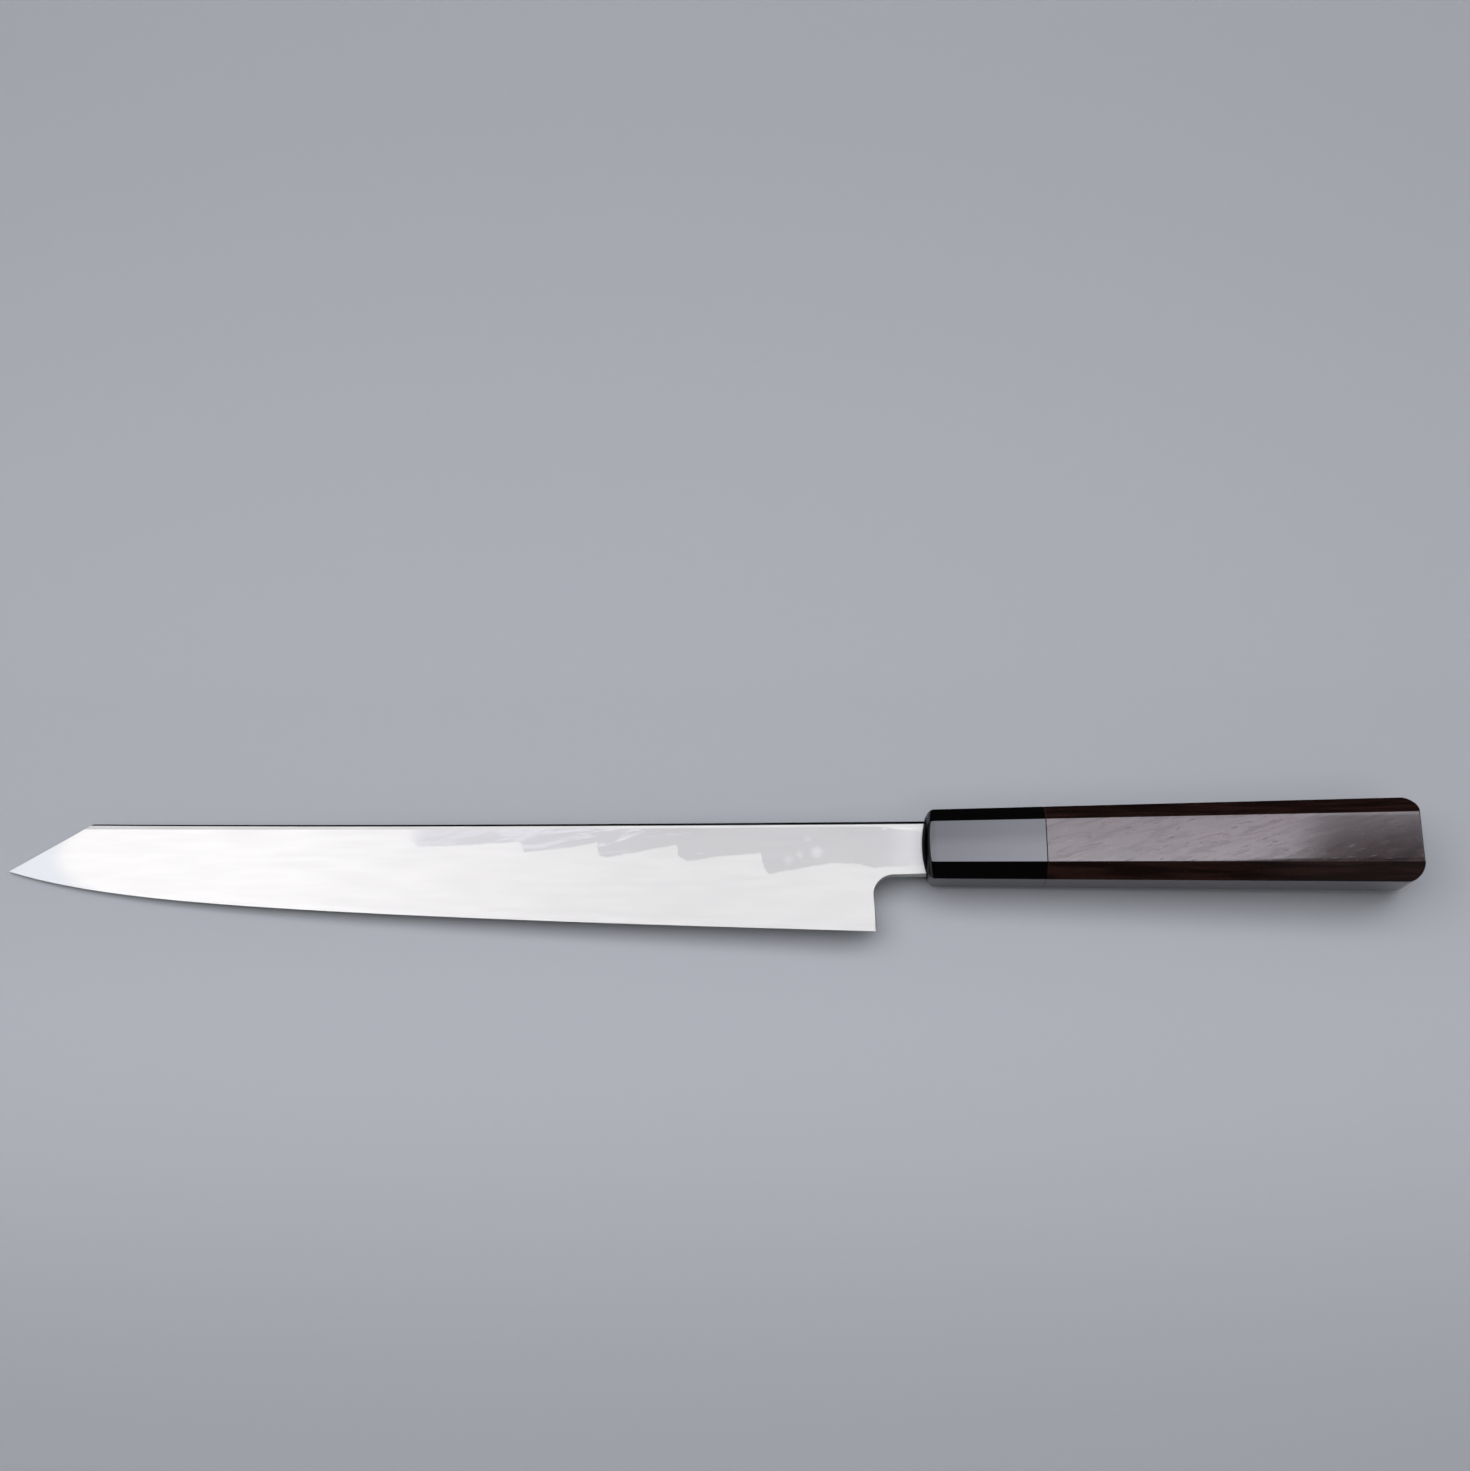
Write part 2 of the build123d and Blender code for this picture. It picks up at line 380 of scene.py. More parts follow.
# The clip at the tip
clip = radians(clip_angle)
bmesh.ops.bisect_plane(
    blade_bm,
    geom=blade_bm.verts[:] + blade_bm.edges[:] + blade_bm.faces[:],
    plane_co=Vector((tip_x, tip_y, 0)) * MM,
    plane_no=(-sin(clip), cos(clip), 0),
    clear_outer=True,
)
open_edges = [e for e in blade_bm.edges if len(e.link_faces) == 1]
bmesh.ops.edgeloop_fill(blade_bm, edges=open_edges, mat_nr=RIM)
bmesh.ops.recalc_face_normals(blade_bm, faces=blade_bm.faces)
shade(blade_bm, blade_sharp_angle)

# The hollow's two borders stay sharp
back_tolerance = 0.002
border_tolerance = 0.02


def on_border(vert, border):
    """Whether a vertex of the back lies on the hollow's upper (0) or lower (1) border."""
    x, y, z = vert.co / MM
    on_back = abs(z - back_z) < back_tolerance and x < shoulder_depth
    return on_back and abs(y - hollow_limits(x)[border]) < border_tolerance


for edge in blade_bm.edges:
    for border in (0, 1):
        if all(on_border(v, border) for v in edge.verts):
            edge.smooth = False


# Handle
def half_height(x):
    return mix(front_height, butt_height, x / handle_length) / 2


def half_thickness(x):
    return mix(front_thickness, butt_thickness, x / handle_length) / 2


def octagon_corners(x):
    """The eight corners of the handle's section at x, in order round it."""
    cut_size = mix(front_cut, butt_cut, x / handle_length)
    side = (half_height(x), half_thickness(x) - cut_size * cut_slope_share)
    top = (half_height(x) - cut_size, half_thickness(x))
    quarter = [side, top]
    half = quarter + [(-y, z) for y, z in reversed(quarter)]
    return [Vector(corner) for corner in half + [(-y, -z) for y, z in half]]


def octagon_section(x):
    """Points round the handle's section at x, with its corners eased."""
    corners = octagon_corners(x)
    arcs = []
    for i, corner in enumerate(corners):
        before = (corners[i - 1] - corner).normalized()
        after = (corners[(i + 1) % len(corners)] - corner).normalized()
        half_angle = before.angle(after) / 2
        centre = corner + (before + after).normalized() * facet_easing / sin(half_angle)
        start = corner + before * facet_easing / tan(half_angle) - centre
        end = corner + after * facet_easing / tan(half_angle) - centre
        turns = [start.lerp(end, share) for share in spread(0, 1, CORNER_STEPS)]
        arcs.append([centre + turn.normalized() * facet_easing for turn in turns])
    points = []
    for i, arc in enumerate(arcs):
        points += arc
        following = arcs[(i + 1) % len(arcs)][0]
        shares = spread(0, 1, FACET_STEPS)[1:-1]
        points += [arc[-1].lerp(following, share) for share in shares]
    return points


def body_rings(start, end):
    return [[(x, *p) for p in octagon_section(x)] for x in spread(start, end, BODY_STEPS)]


def seam_ring(x):
    """The section at a seam, drawn in by the seam's easing."""
    shrink = 1 - seam_easing / half_height(x)
    return [(x, *(p * shrink)) for p in octagon_section(x)]


def nose_profile(reach):
    """Points from the axis to the side of the domed nose, as (depth, share of the reach)."""
    centre = nose_radius - sqrt((nose_radius - nose_rounding) ** 2 - (reach - nose_rounding) ** 2)
    touch = atan2(reach - nose_rounding, nose_radius - centre)
    points = []
    for angle in spread(touch * first_dome_share, touch, DOME_STEPS):
        points.append((nose_radius * (1 - cos(angle)), nose_radius * sin(angle) / reach))
    for angle in spread(touch, pi / 2, ROUNDING_STEPS)[1:]:
        out = reach - nose_rounding * (1 - sin(angle))
        points.append((centre - nose_rounding * cos(angle), out / reach))
    return points


def nose_rings():
    """The domed nose: each point of the front section moves in along its own profile."""
    section = octagon_section(0)
    profiles = [nose_profile(p.length) for p in section]
    rings = []
    for stages in zip(*profiles):
        ring = []
        for p, (depth, share) in zip(section, stages):
            y = p.x * share * half_height(depth) / half_height(0)
            z = p.y * share * half_thickness(depth) / half_thickness(0)
            ring.append((depth, y, z))
        rings.append(ring)
    return rings


def butt_inset(radius, depth):
    """How far a rounded end is drawn in at a depth from its end plane."""
    return radius - sqrt(radius**2 - max(radius - depth, 0) ** 2)


def butt_rings():
    """The butt, with round corners seen from above and its top and bottom edges eased."""
    turns = spread(0, pi / 2, BUTT_STEPS)
    corner_side = half_height(grip_body_end)
    depths = {size * (1 - sin(a)) for size in (butt_corner_radius, butt_easing) for a in turns}
    rings = []
    for depth in sorted(depths, reverse=True):
        x = handle_length - depth
        side = corner_side - butt_inset(butt_corner_radius, depth)
        top = half_thickness(x) - butt_inset(butt_easing, depth)
        ring = []
        for y, z in octagon_section(x):
            ring.append((x, max(min(y, side), -side), max(min(z, top), -top)))
        rings.append(ring)
    return rings


def cylinder(radius, start, end):
    points = [(radius * cos(a), radius * sin(a)) for a in spread(0, 2 * pi, CIRCLE_STEPS)[:-1]]
    return stack([[(x, y, z) for y, z in points] for x in (start, end)])


def neck_slot(start, end):
    """The slot that the neck passes through, with round corners."""
    reach_y = neck_height / 2 + slot_margin - slot_corner_radius
    reach_z = neck_thickness / 2 + slot_margin - slot_corner_radius
    outline = []
    for quarter, (side_y, side_z) in enumerate(((1, 1), (-1, 1), (-1, -1), (1, -1))):
        for angle in spread(quarter * pi / 2, (quarter + 1) * pi / 2, SLOT_STEPS):
            y = neck_middle + side_y * reach_y + slot_corner_radius * cos(angle)
            outline.append((y, side_z * reach_z + slot_corner_radius * sin(angle)))
    return stack([[(x, y, z) for y, z in outline] for x in (start, end)])


dowel_end = ferrule_length + dowel_reach
bore_radius = dowel_diameter / 2 + glue_gap
nose_end = 2 * nose_rounding
ferrule_rings = nose_rings() + body_rings(nose_end, ferrule_length - seam_easing)
ferrule_bm = cut(
    stack(ferrule_rings + [seam_ring(ferrule_length)]),
    neck_slot(-cut_overrun, ferrule_front_wall + cut_overrun),
    cylinder(bore_radius, ferrule_front_wall, ferrule_length + cut_overrun),
)
shade(ferrule_bm, handle_sharp_angle)
grip_body = body_rings(ferrule_length + seam_easing, grip_body_end)
tang_hole_end = tang_length + tang_hole_overrun
grip_bm = cut(
    stack([seam_ring(ferrule_length)] + grip_body + butt_rings()),
    cylinder(bore_radius, ferrule_length - cut_overrun, dowel_end),
    cylinder(tang_hole_diameter / 2, dowel_end - cut_overrun, tang_hole_end),
)
shade(grip_bm, handle_sharp_angle)


# Node trees
class Nodes:
    """A node tree, with short ways to add nodes to it."""

    def __init__(self, tree):
        self.tree = tree

    def put(self, kind, inputs=None, **settings):
        """Adds a node. Inputs go by name or number, and settings are its attributes."""
        node = self.tree.nodes.new(kind)
        for key, value in settings.items():
            setattr(node, key, value)
        for key, value in (inputs or {}).items():
            self.feed(node.inputs[key], value)
        return node

    def feed(self, socket, value):
        """Links an output to the socket, or gives the socket a plain value."""
        if isinstance(value, bpy.types.NodeSocket):
            self.tree.links.new(value, socket)
        else:
            socket.default_value = value

    def math(self, operation, *values, clamp=False):
        node = self.put("ShaderNodeMath", dict(enumerate(values)), operation=operation)
        node.use_clamp = clamp
        return node.outputs[0]

    def plus(self, first, second):
        return self.math("ADD", first, second)

    def minus(self, first, second):
        return self.math("SUBTRACT", first, second)

    def times(self, first, second):
        return self.math("MULTIPLY", first, second)

    def step(self, value, low, high, first=0.0, last=1.0):
        """Goes smoothly from first to last as value goes from low to high."""
        inputs = {"Value": value, "From Min": low, "From Max": high}
        inputs.update({"To Min": first, "To Max": last})
        node = self.put("ShaderNodeMapRange", inputs, interpolation_type="SMOOTHSTEP")
        return node.outputs["Result"]

    def blend(self, share, first, second):
        """Goes from the first colour to the second as the share goes from nought to one."""
        node = self.put("ShaderNodeMix", data_type="RGBA")
        self.feed(node.inputs["Factor"], share)
        self.feed(node.inputs[6], first)
        self.feed(node.inputs[7], second)
        return node.outputs[2]

    def seen(self):
        """One for rays of the camera, in gloss and through glass, which show the backdrop."""
        path = self.put("ShaderNodeLightPath").outputs
        seen = self.plus(path["Is Camera Ray"], path["Is Glossy Ray"])
        return self.math("ADD", seen, path["Is Transmission Ray"], clamp=True)


class Paint(Nodes):
    """A material. Its places are those on the straight knife, or else the object's own."""

    def __init__(self, name, drawn=True):
        self.material = bpy.data.materials.new(name)
        self.material.use_nodes = True
        super().__init__(self.material.node_tree)
        self.shader = self.tree.nodes["Principled BSDF"]
        self.surface = self.tree.nodes["Material Output"].inputs["Surface"]
        if drawn:
            node = self.put("ShaderNodeAttribute", attribute_name="drawn")
            self.coords = node.outputs["Vector"]
        else:
            self.coords = self.put("ShaderNodeTexCoord").outputs["Object"]

    def set(self, **values):
        """Feeds sockets of the shader, named with underscores for their spaces."""
        for key, value in values.items():
            self.feed(self.shader.inputs[key.replace("_", " ")], value)

    def xyz(self):
        return self.put("ShaderNodeSeparateXYZ", {0: self.coords}).outputs

    def stretch(self, scale, turn=0):
        """The places, turned about Z by an angle in degrees and then scaled."""
        inputs = {"Vector": self.coords, "Rotation": (0, 0, radians(turn))}
        turned = self.put("ShaderNodeMapping", inputs)
        inputs = {"Vector": turned.outputs["Vector"], "Scale": scale}
        return self.put("ShaderNodeMapping", inputs).outputs["Vector"]

    def noise(self, vector, scale=1.0, detail=3.0, roughness=0.5, distortion=0.0):
        inputs = {"Vector": vector, "Scale": scale, "Detail": detail, "Roughness": roughness}
        inputs["Distortion"] = distortion
        return self.put("ShaderNodeTexNoise", inputs).outputs["Fac"]

    def wander(self, noise, span):
        """A noise as a shift, up to half the span either way."""
        return self.times(self.minus(noise, 0.5), span)

    def bump(self, height, strength, distance):
        inputs = {"Height": height, "Strength": strength, "Distance": distance}
        self.set(Normal=self.put("ShaderNodeBump", inputs).outputs["Normal"])

    def glow(self, colour, share):
        """Mixes a plain glow over the shader by a share."""
        emission = self.put("ShaderNodeEmission", {"Color": colour})
        inputs = {0: share, 1: self.shader.outputs[0], 2: emission.outputs[0]}
        self.feed(self.surface, self.put("ShaderNodeMixShader", inputs).outputs[0])


def rgb(red, green, blue):
    return (red, green, blue, 1.0)


def grey(level, tint=(1.0, 1.0, 1.0)):
    return rgb(level * tint[0], level * tint[1], level * tint[2])


# Steel: levels and tints are matched to the photo's tones
# Painted shade: the hard and the soft steel are made darker towards the heel
hard_tint = (1.035, 1.01, 0.94)
hard_lit_at_tip = grey(0.66, hard_tint)
hard_shaded_at_heel = grey(0.445, hard_tint)
hard_shade_fade_x = (-275 * MM, -55 * MM)

soft_warm_tint = (1, 0.98, 0.94)
soft_at_mid = grey(0.435, soft_warm_tint)
soft_shaded_at_heel = grey(0.365, (1, 0.975, 0.925))
soft_at_mouth = grey(0.41, soft_warm_tint)
soft_shade_fade_x = (-160 * MM, -70 * MM)
soft_mouth_x = (-12 * MM, -3 * MM)
soft_start_x = (-160 * MM, -152 * MM)
soft_edge = (-0.3 * MM, 0.5 * MM)

wisp_colour = grey(0.46, (1, 0.98, 0.96))
wisp_fade_x = (-110 * MM, -60 * MM)
wisp_thresholds = (0.52, 0.70)
wisp_edge = (-0.03, 0.12)
spine_wisps_x = (-115 * MM, -85 * MM)
spine_wisps_y = (3 * MM, 6 * MM)
spine_wisps_gain = 0.14

grain_colour = grey(0.45, soft_warm_tint)
streak_colour = grey(0.42)
streak_share = 0.06

tip_tint = (0.98, 0.99, 0.97)
tip_low = grey(0.59, tip_tint)
tip_high = grey(0.53, tip_tint)
tip_fade_y = (0.0, 8 * MM)
tip_zone_x = -235 * MM
tip_zone_reach = (33.5 * MM, 15 * MM)
tip_zone_edge = (0.9, 1.15)
tip_side_x = (-250 * MM, -240 * MM)

# The soft steel's border as (x, y) places on the back: a row of teeth that lean to the heel
soft_steel_border = (
    (-162.5, 4.8), (-154.7, 1.24), (-138.8, 1.74), (-122.7, 2.55), (-122.5, -0.92), (-110.7, 0.24),
    (-99.3, 2.03), (-99.0, -1.74), (-96.4, -2.7), (-81.3, 0.0), (-74.6, 1.19), (-74.2, -2.25),
    (-71.1, -3.84), (-61.3, -2.67), (-48.5, -1.53), (-48.2, -5.88), (-46.4, -8.2), (-33.2, -5.69),
    (-26.2, -4.82), (-18.7, -5.19), (-14.1, -6.46), (-6.6, -6.21), (5.0, -5.6),
)
border_span = 20.0

# Bright grains in the soft steel near the heel: x, y, reach and strength
bright_grains = (
    (-31.7, -1.35, 2.9, 0.8), (-40.5, -3.8, 2.2, 0.6), (-37.2, -1.9, 1.8, 0.6),
    (-34.7, 2.7, 1.5, 0.5), (-2.3, -6.6, 2.8, 0.8),
)


def soft_steel_share(paint):
    """One on the soft steel along the spine, nought on the hard steel along the edge."""
    wobble = paint.noise(paint.coords, 260.0, 4.0, 0.6)
    x, y, _ = paint.xyz()
    x = paint.plus(x, paint.wander(wobble, 2.2 * MM))
    y = paint.plus(y, paint.wander(wobble, 1.2 * MM))
    first = soft_steel_border[0][0]
    length = soft_steel_border[-1][0] - first
    along = paint.math("DIVIDE", paint.minus(x, first * MM), length * MM)
    node = paint.put("ShaderNodeFloatCurve", {"Value": along})
    curve = node.mapping.curves[0]
    while len(curve.points) < len(soft_steel_border):
        curve.points.new(0.5, 0.5)
    for point, (px, py) in zip(curve.points, soft_steel_border):
        point.location = ((px - first) / length, (py + border_span / 2) / border_span)
        point.handle_type = "VECTOR"
    node.mapping.update()
    border = paint.wander(node.outputs[0], border_span * MM)
    above = paint.minus(y, border)
    return paint.times(paint.step(above, *soft_edge), paint.step(x, *soft_start_x))


def soft_steel_colour(paint, x, y):
    """Darker towards the heel, as painted shade, and lighter again near the mouth, with pale wisps
    that gather near the spine away from the heel.
    """
    colour = paint.blend(paint.step(x, *soft_shade_fade_x), soft_at_mid, soft_shaded_at_heel)
    clouds = paint.noise(paint.stretch((70, 420, 70), -8), distortion=0.8)
    gain = paint.step(x, *spine_wisps_x, spine_wisps_gain, 0.0)
    gain = paint.times(paint.step(y, *spine_wisps_y), gain)
    threshold = paint.minus(paint.step(x, *wisp_fade_x, *wisp_thresholds), gain)
    wisps = paint.step(paint.minus(clouds, threshold), *wisp_edge)
    colour = paint.blend(wisps, colour, wisp_colour)
    return paint.blend(paint.step(x, *soft_mouth_x), colour, soft_at_mouth)


def tip_zone(paint, x, y):
    """One beyond an ellipse that ends short of the tip, nought elsewhere on the blade."""
    reach_x, reach_y = tip_zone_reach
    across = paint.math("POWER", paint.math("DIVIDE", paint.minus(x, tip_zone_x), reach_x), 2.0)
    upward = paint.math("POWER", paint.math("DIVIDE", y, reach_y), 2.0)
    beyond = paint.math("SQRT", paint.plus(across, upward))
    at_tip = paint.step(x, *tip_side_x, 1.0, 0.0)
    return paint.times(paint.step(beyond, *tip_zone_edge), at_tip)


def steel_hollow():
    paint = Paint("steel_hollow")
    x, y, _ = paint.xyz()
    # The hard steel darkens from the tip towards the heel, as painted shade
    hard_colour = paint.blend(paint.step(x, *hard_shade_fade_x), hard_lit_at_tip, hard_shaded_at_heel)
    colour = paint.blend(soft_steel_share(paint), hard_colour, soft_steel_colour(paint, x, y))
    streaks = paint.noise(paint.stretch((60, 600, 60)), detail=4.0)
    colour = paint.blend(paint.step(streaks, 0.3, 0.7, 0.0, streak_share), colour, streak_colour)
    ragged = paint.wander(paint.noise(paint.coords, 700.0), 2 * MM)
    for grain_x, grain_y, reach, strength in bright_grains:
        place = (grain_x * MM, grain_y * MM, back_z * MM)
        inputs = {0: paint.coords, 1: place}
        away = paint.put("ShaderNodeVectorMath", inputs, operation="DISTANCE").outputs["Value"]
        near = paint.step(paint.plus(away, ragged), 0.0, reach * MM, strength, 0.0)
        colour = paint.blend(near, colour, grain_colour)
    tip_colour = paint.blend(paint.step(y, *tip_fade_y), tip_low, tip_high)
    colour = paint.blend(tip_zone(paint, x, y), colour, tip_colour)
    paint.set(Base_Color=colour, Metallic=1.0)
    paint.set(Roughness=paint.step(streaks, 0.2, 0.8, 0.55, 0.58))
    return paint.material


def steel_plain(name, level, roughness, tint=(1.0, 1.0, 1.0)):
    """Steel of one level, with fine scratches along the knife."""
    scratch_depth = 0.06
    darker = 0.88
    paint = Paint(name)
    scratches = paint.noise(paint.stretch((50, 1500, 50)))
    colour = paint.blend(scratches, grey(level, tint), grey(level * darker, tint))
    paint.set(Base_Color=colour, Metallic=1.0)
    dull = roughness + scratch_depth
    paint.set(Roughness=paint.step(scratches, 0.2, 0.8, roughness, dull))
    return paint.material


# Horn: polished, and dull and dark in a narrow band at the mouth, where the darkness is painted
# shade
horn_dark = grey(0.0012)
horn_hazy = grey(0.003, (1.0, 0.9, 0.9))
horn_sheen = rgb(0.96, 0.965, 1.0)
mouth_shade_sheen = rgb(0.3, 0.3, 0.32)
mouth_shade_x = (1.2 * MM, 2.2 * MM)


def black_horn():
    paint = Paint("black_horn")
    x, _, _ = paint.xyz()
    haze = paint.noise(paint.stretch((20, 220, 220)), detail=4.0)
    paint.set(Base_Color=paint.blend(haze, horn_dark, horn_hazy))
    # Painted shade: in the band at the mouth the horn is made a black metal with a dim sheen
    mouth = paint.step(x, *mouth_shade_x, 1.0, 0.0)
    gloss = paint.step(haze, 0.3, 0.8, 0.04, 0.07)
    paint.set(Roughness=paint.plus(gloss, paint.times(mouth, 0.3)), IOR=1.62, Metallic=mouth)
    paint.set(Specular_Tint=paint.blend(mouth, horn_sheen, mouth_shade_sheen))
    return paint.material


# Rosewood: the level facet has leaning veins, and the other facets straight ones
level_facet_z = (9.2 * MM, 9.35 * MM)
grain_lean = -15
side_dark = rgb(0.007, 0.0035, 0.003)
side_pale = rgb(0.018, 0.008, 0.006)
top_dark = rgb(0.008, 0.006, 0.006)
lit_top_pale = rgb(0.034, 0.022, 0.021)
vein_colour = rgb(0.006, 0.004, 0.004)
bright_sheen = rgb(1.0, 0.92, 0.925)
shade_and_vein_sheen = rgb(0.86, 0.77, 0.77)


def rosewood():
    """Dark and polished. The broad facet that lies level is lighter, as painted light, and the
    other facets have a dimmer sheen, as painted shade.
    """
    paint = Paint("rosewood")
    x, _, z = paint.xyz()
    facet_slope = (butt_thickness - front_thickness) / 2 / handle_length
    level = paint.step(paint.minus(z, paint.times(x, facet_slope)), *level_facet_z)
    leaning = paint.noise(paint.stretch((90, 620, 420), grain_lean), 1.0, 5.0, 0.6, 0.7)
    bands = paint.noise(paint.stretch((50, 190, 130), grain_lean), 1.0, 4.0, 0.55, 1.2)
    pores = paint.noise(paint.stretch((260, 3000, 3000), grain_lean), 1.0, 2.0, 0.5)
    straight = paint.noise(paint.stretch((40, 500, 500)), 1.0, 5.0, 0.6, 0.3)
    side_colour = paint.blend(paint.step(straight, 0.42, 0.62), side_dark, side_pale)
    # Painted light: the level facet gets a lighter copy of the wood's colours than the other
    # facets
    top_colour = paint.blend(paint.step(bands, 0.35, 0.68), top_dark, lit_top_pale)
    veins = paint.step(leaning, 0.45, 0.68)
    top_colour = paint.blend(paint.times(veins, 0.7), top_colour, vein_colour)
    paint.set(Base_Color=paint.blend(level, side_colour, top_colour), IOR=1.63)
    # Painted shade: the facets that don't lie level get a dimmer sheen; on the level facet the
    # veins dim it too
    lit_sheen_share = paint.times(level, paint.step(veins, 0.0, 1.0, 1.0, 0.2))
    paint.set(Specular_Tint=paint.blend(paint.minus(1.0, lit_sheen_share), bright_sheen, shade_and_vein_sheen))
    dips = paint.step(pores, 0.66, 0.76)
    gloss = paint.step(leaning, 0.3, 0.7, 0.09, 0.12)
    paint.set(Roughness=paint.plus(gloss, paint.times(dips, 0.25)))
    paint.bump(paint.times(dips, -1.0), 0.1, 0.15 * MM)
    return paint.material


def speckled(name, colour, roughness):
    """A plain finish for the pieces inside the handle, darker by a quarter in spots."""
    paint = Paint(name, drawn=False)
    spots = paint.noise(paint.coords, 900.0, 4.0)
    darker = rgb(*(channel * 0.75 for channel in colour[:3]))
    paint.set(Base_Color=paint.blend(spots, colour, darker), Roughness=roughness)
    return paint.material


# In the order of HOLLOW, RIM, FLAT, SPINE and TANG
blade_materials = (
    steel_hollow(),
    steel_plain("steel_rim", 0.44, 0.5, (1.02, 0.995, 0.925)),
    steel_plain("steel_flat", 0.55, 0.28),
    # The spine's steel is made almost black, painted shade for the dark band along the spine
    steel_plain("shaded_steel_spine", 0.045, 0.2),
    steel_plain("steel_tang", 0.2, 0.6),
)
new_piece("blade_steel", blade_bm, "blade", "polished_steel", *blade_materials)
new_piece("ferrule_horn", ferrule_bm, "ferrule", "black_horn", black_horn())
new_piece("grip_rosewood", grip_bm, "grip", "rosewood", rosewood())

carried_over = {
    "core_dowel": speckled("pale_hardwood", rgb(0.55, 0.4, 0.25), 0.7),
    "tang_bedding": speckled("bedding_resin", rgb(0.35, 0.25, 0.12), 0.5),
    "mouth_seal": speckled("black_sealant", grey(0.006), 0.3),
}
for node, finish in carried_over.items():
    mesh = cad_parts[node].data
    mesh.materials.clear()
    mesh.materials.append(finish)


# Stage, in metres
def sheet(name, corners, finish):
    mesh = bpy.data.meshes.new(name)
    mesh.from_pydata([Vector(c) for c in corners], [], [tuple(range(len(corners)))])
    mesh.materials.append(finish)
    made = bpy.data.objects.new(name, mesh)
    bpy.context.scene.collection.objects.link(made)
    return made


def rectangle(x_span, y_span):
    (left, right), (near, far) = x_span, y_span
    return [(left, near), (right, near), (right, far), (left, far)]


# Matt floor. It is lighter under the knife than in front of it and behind it, which is painted
# shade that darkens it away from the knife. Far out it takes the backdrop's colour, so that its
# far edge doesn't show
floor_tint = (0.965, 0.988, 1.004)
backdrop = grey(0.42, floor_tint)
floor_front_shade = grey(0.34, floor_tint)
floor_lit_middle = grey(0.402, floor_tint)
floor_behind_shade = grey(0.368, floor_tint)
floor_far_behind_shade = grey(0.322, floor_tint)
front_fade_y = (-0.17, -0.06)
middle_fade_y = (-0.05, 0.02)
behind_fade_y = (0.02, 0.32)
floor_glow_reach = (0.42, 0.85)
floor_span = (-6.0, 6.0)


def floor_material():
    paint = Paint("floor", drawn=False)
    x, y, _ = paint.xyz()
    colour = paint.blend(paint.step(y, *behind_fade_y), floor_behind_shade, floor_far_behind_shade)
    colour = paint.blend(paint.step(y, *middle_fade_y), floor_lit_middle, colour)
    colour = paint.blend(paint.step(y, *front_fade_y), floor_front_shade, colour)
    paint.set(Base_Color=colour, Roughness=0.7, Specular_IOR_Level=0.15)
    away = paint.math("SQRT", paint.plus(paint.times(x, x), paint.times(y, y)))
    paint.glow(backdrop, paint.times(paint.step(away, *floor_glow_reach), paint.seen()))
    return paint.material


sheet("floor", [(x, y, 0) for x, y in rectangle(floor_span, floor_span)], floor_material())

# Light. The main softbox is overhead, a little behind the knife, and the sheen on the grip ends
# at its slanted side. The fill panel gives the dark end of the grip a faint sheen. Two dimmer
# softboxes light the floor from the right and from the front
X_AXIS, Y_AXIS = 0, 1
light_tint = rgb(0.965, 0.975, 1.07)
light_height = 1.0
softbox_corners = ((-0.95, 0.70), (-0.95, -0.17), (0.11, -0.17), (0.75, 0.70))


def soft_panel(name, corners, height, level, *fades):
    """A panel that glows downwards at a level. Each fade goes along an axis, as (axis, from, to,
    share of the level before, share after)."""
    paint = Paint(name, drawn=False)
    places = paint.xyz()
    strength = level
    for axis, *values in fades:
        strength = paint.times(strength, paint.step(places[axis], *values))
    inputs = {"Color": light_tint, "Strength": strength}
    paint.feed(paint.surface, paint.put("ShaderNodeEmission", inputs).outputs[0])
    panel = sheet(name, [(x, y, height) for x, y in corners], paint.material)
    panel.visible_camera = False


soft_panel(
    "softbox",
    softbox_corners,
    light_height,
    5.0,
    (X_AXIS, 0.00, 0.20, 0.78, 1.12),
    (Y_AXIS, 0.2300, 0.2320, 1.0, 0.76),
)
soft_panel("side_softbox", rectangle((0.30, 1.10), (0.242, 0.62)), light_height + 0.004, 3.8)
soft_panel(
    "fill_panel",
    rectangle((0.20, 1.10), (-0.20, 0.245)),
    light_height + 0.003,
    0.6,
    (Y_AXIS, 0.222, 0.238, 0.25, 1.6),
)
soft_panel("front_softbox", rectangle((-0.10, 0.80), (-0.70, -0.25)), light_height, 1.8)


# Dark cards, close behind the knife and out in front of it, which only reflections see
card_glow_x = (0.37, 0.45)
card_glow = rgb(1.0, 0.93, 0.95)


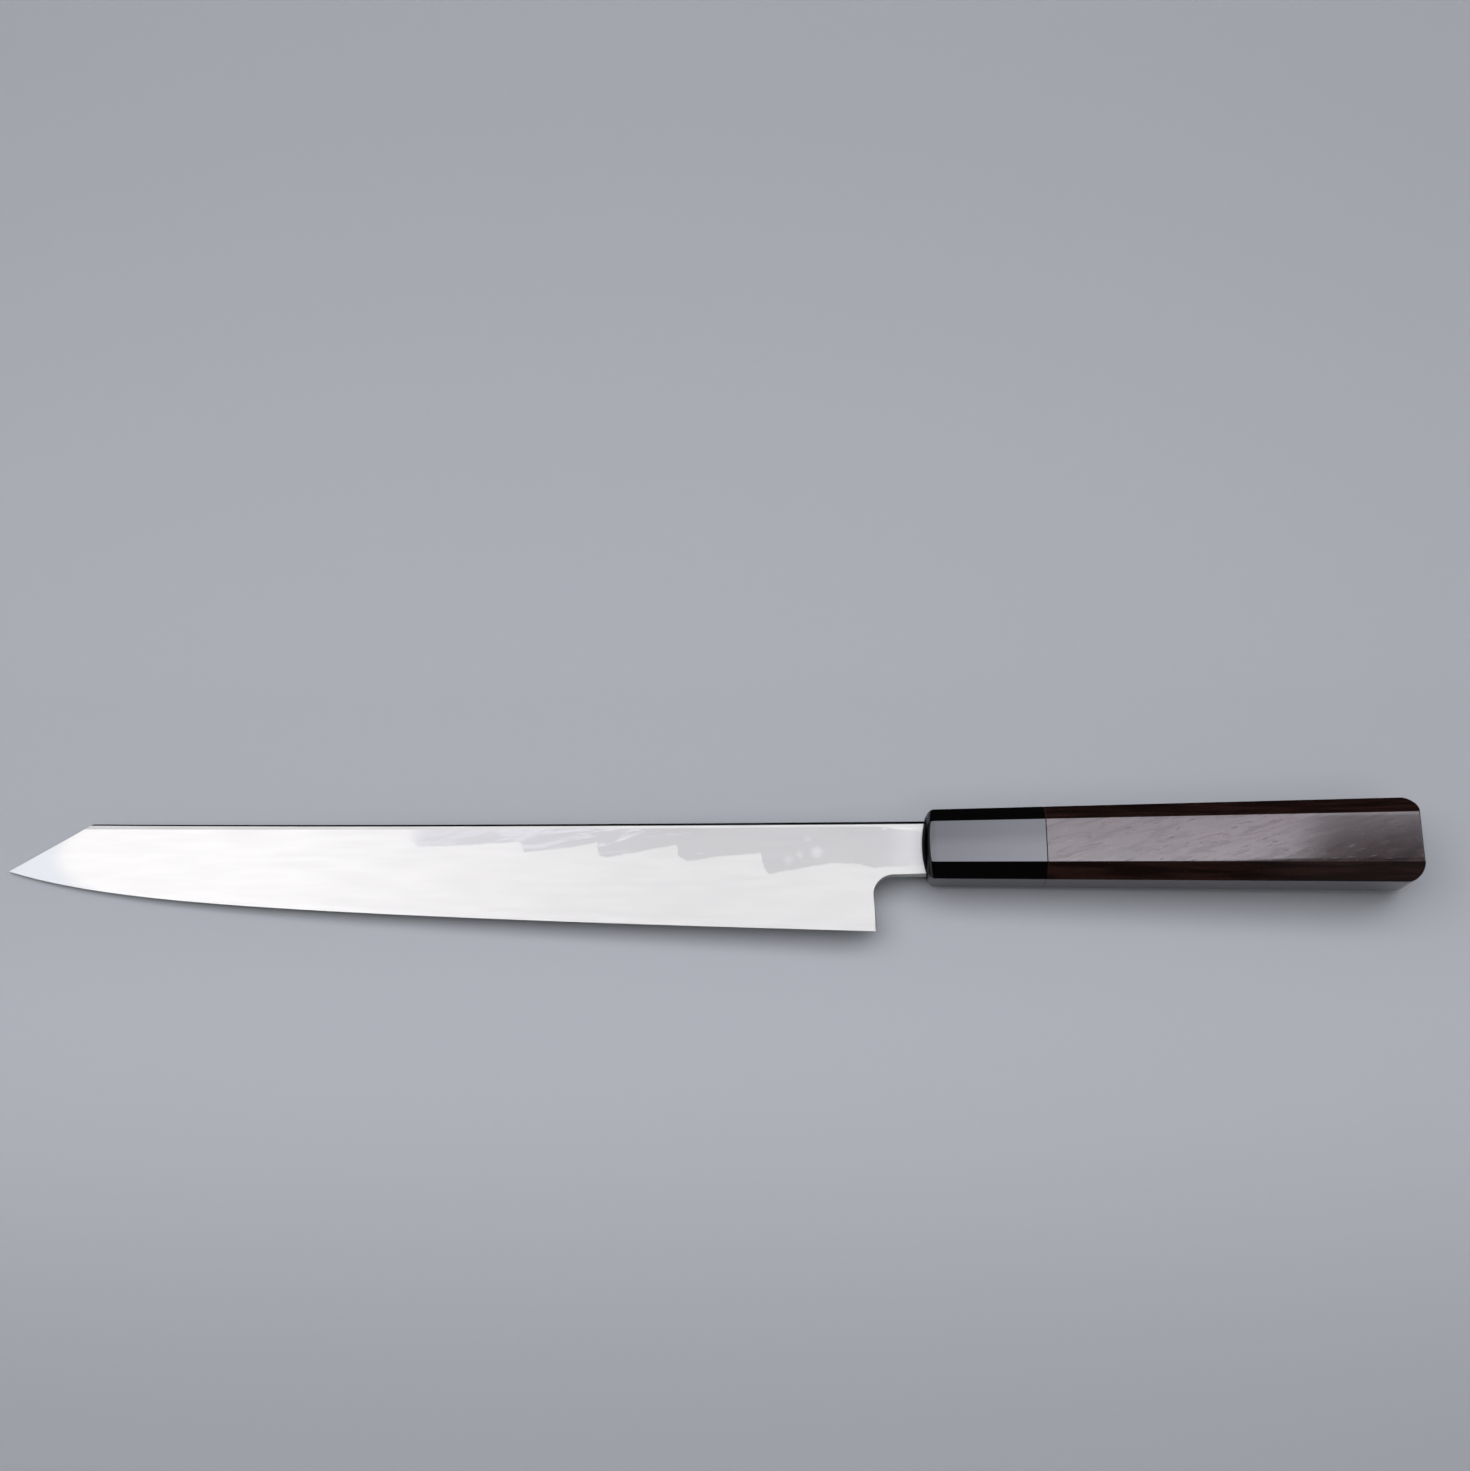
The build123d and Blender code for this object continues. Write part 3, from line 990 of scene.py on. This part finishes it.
def dark_card(name, x_span, y, z_span, glow_level):
    """A black card that glows faintly towards the butt."""
    (left, right), (low, high) = x_span, z_span
    paint = Paint(name, drawn=False)
    paint.set(Base_Color=grey(0.002), Roughness=1.0, Specular_IOR_Level=0.0)
    share = paint.step(paint.xyz()[X_AXIS], *card_glow_x, 0.0, glow_level)
    paint.glow(card_glow, share)
    corners = [(left, y, low), (right, y, low), (right, y, high), (left, y, high)]
    card = sheet(name, corners, paint.material)
    card.visible_camera = False
    card.visible_diffuse = False
    card.visible_shadow = False
    card.visible_transmission = False


dark_card("back_card", x_span=(-0.25, 0.27), y=0.06, z_span=(0, 0.05), glow_level=0.0)
dark_card("front_card", x_span=(-1.2, 1.2), y=-1.0, z_span=(0.2, 1.0), glow_level=0.1)

# World: rays that see it meet the backdrop, and the dark sky higher up, and everything gets an
# even light from it. The angles are in degrees above the horizon
backdrop_top = 30
dark_start = 50
dark_sky = grey(0.05)
even_light = grey(0.15)
world = bpy.data.worlds.new("studio")
world.use_nodes = True
bpy.context.scene.world = world
sky = Nodes(world.node_tree)
sky.tree.nodes.clear()
direction = sky.put("ShaderNodeTexCoord").outputs["Generated"]
height = sky.put("ShaderNodeSeparateXYZ", {0: direction}).outputs["Z"]
overhead = sky.step(height, sin(radians(backdrop_top)), sin(radians(dark_start)))
shown = sky.blend(overhead, backdrop, dark_sky)
sky_colour = sky.blend(sky.seen(), even_light, shown)
background = sky.put("ShaderNodeBackground", {"Color": sky_colour})
sky.put("ShaderNodeOutputWorld", {"Surface": background.outputs[0]})

# Camera, over the front of the knife and looking down at it
camera_place = (25.198, -107.27, 513.808)
camera_right = (0.99966, 0.00525, -0.02494)
camera_back = (0.0254, -0.2845, 0.9583)
camera_data = bpy.data.cameras.new("camera")
camera_data.lens = 41.298
camera_data.sensor_width = 36.0
camera_data.clip_start = 0.01
camera_data.clip_end = 50.0
camera = bpy.data.objects.new("camera", camera_data)
bpy.context.scene.collection.objects.link(camera)
back = Vector(camera_back).normalized()
up = back.cross(Vector(camera_right).normalized()).normalized()
turn = Matrix((up.cross(back), up, back)).transposed().to_4x4()
camera.matrix_world = Matrix.Translation(Vector(camera_place) * MM) @ turn
bpy.context.scene.camera = camera
bpy.context.scene.view_settings.view_transform = "Standard"
